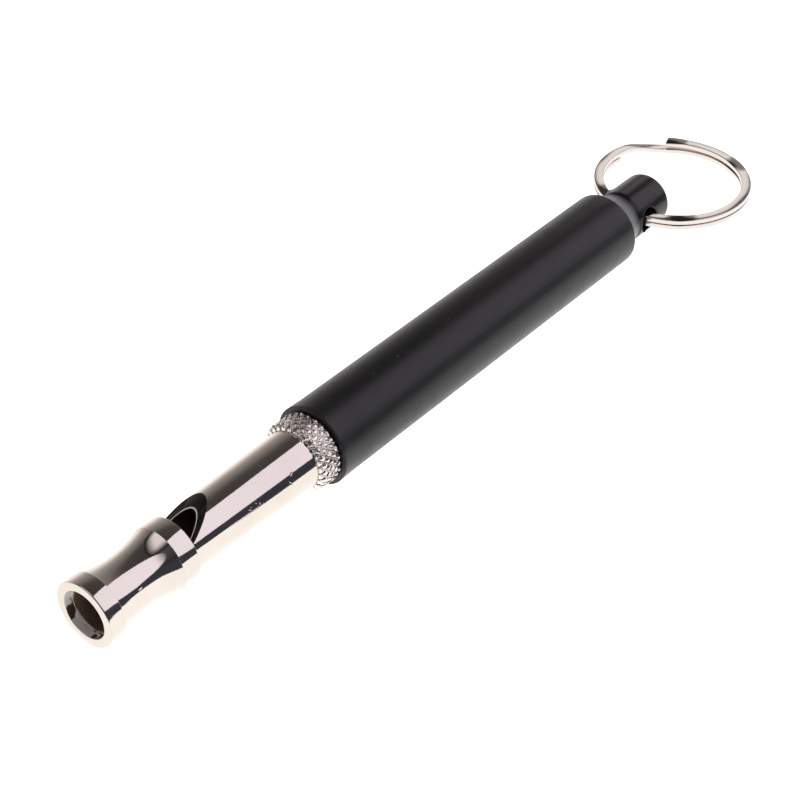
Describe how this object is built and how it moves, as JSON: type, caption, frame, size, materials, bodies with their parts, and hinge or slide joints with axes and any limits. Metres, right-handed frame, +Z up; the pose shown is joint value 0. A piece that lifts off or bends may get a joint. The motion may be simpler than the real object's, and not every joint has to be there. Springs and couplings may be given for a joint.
{
  "type": "adjustable dog whistle",
  "caption": "Slim metal dog whistle: nickel mouthpiece tube with a side window, knurled lock ring, black screw-on tuning barrel and a split key ring on its neck.",
  "frame": {"origin": "centre of the mouth end's face, on the whistle's axis", "axes": "+X along the axis from the mouth to the key ring, +Z up as the whistle lies on a table with the key ring level; the window faces +Z turned 18.5 degrees towards +Y"},
  "size_m": [0.0977, 0.0174, 0.0084],
  "materials": {
    "nickel_plate": "polished nickel plate on brass",
    "dark_block": "black moulded plug",
    "knurled_nickel": "nickel plate over a cut knurl",
    "black_anodised": "black anodised, semi-gloss",
    "black_stud": "black anodised, semi-gloss",
    "rod_steel": "drawn steel",
    "piston_brass": "turned brass",
    "ring_nickel": "nickel-plated spring steel"
  },
  "bodies": {
    "tube": {"whistle_tube": "nickel_plate", "windway_block": "dark_block"},
    "plunger": {"tuning_rod": "rod_steel", "piston": "piston_brass"},
    "barrel": {"barrel": "black_anodised", "end_stud": "black_stud"},
    "lock_ring": {"lock_ring": "knurled_nickel"},
    "key_ring": {"split_ring": "ring_nickel"}
  },
  "joints": [
    {"name": "barrel_advance", "type": "slide", "parent": "tube", "child": "plunger", "axis": [1, 0, 0], "range_m": [0, 0.009]},
    {"name": "barrel_turn", "type": "hinge", "parent": "plunger", "child": "barrel", "pos_m": [0, 0, 0], "axis": [1, 0, 0], "range_deg": [0, 4320]},
    {"name": "lock_ring_turn", "type": "hinge", "parent": "plunger", "child": "lock_ring", "pos_m": [0, 0, 0], "axis": [1, 0, 0], "range_deg": [-90, 0]},
    {"name": "key_ring_swing", "type": "hinge", "parent": "barrel", "child": "key_ring", "pos_m": [0.0813, 0, 0], "axis": [0, 1, 0], "range_deg": [-155, 155]}
  ],
  "couplings": [
    {"joint": "barrel_turn", "follows": "barrel_advance", "rad_per_m": 8377.6}
  ]
}
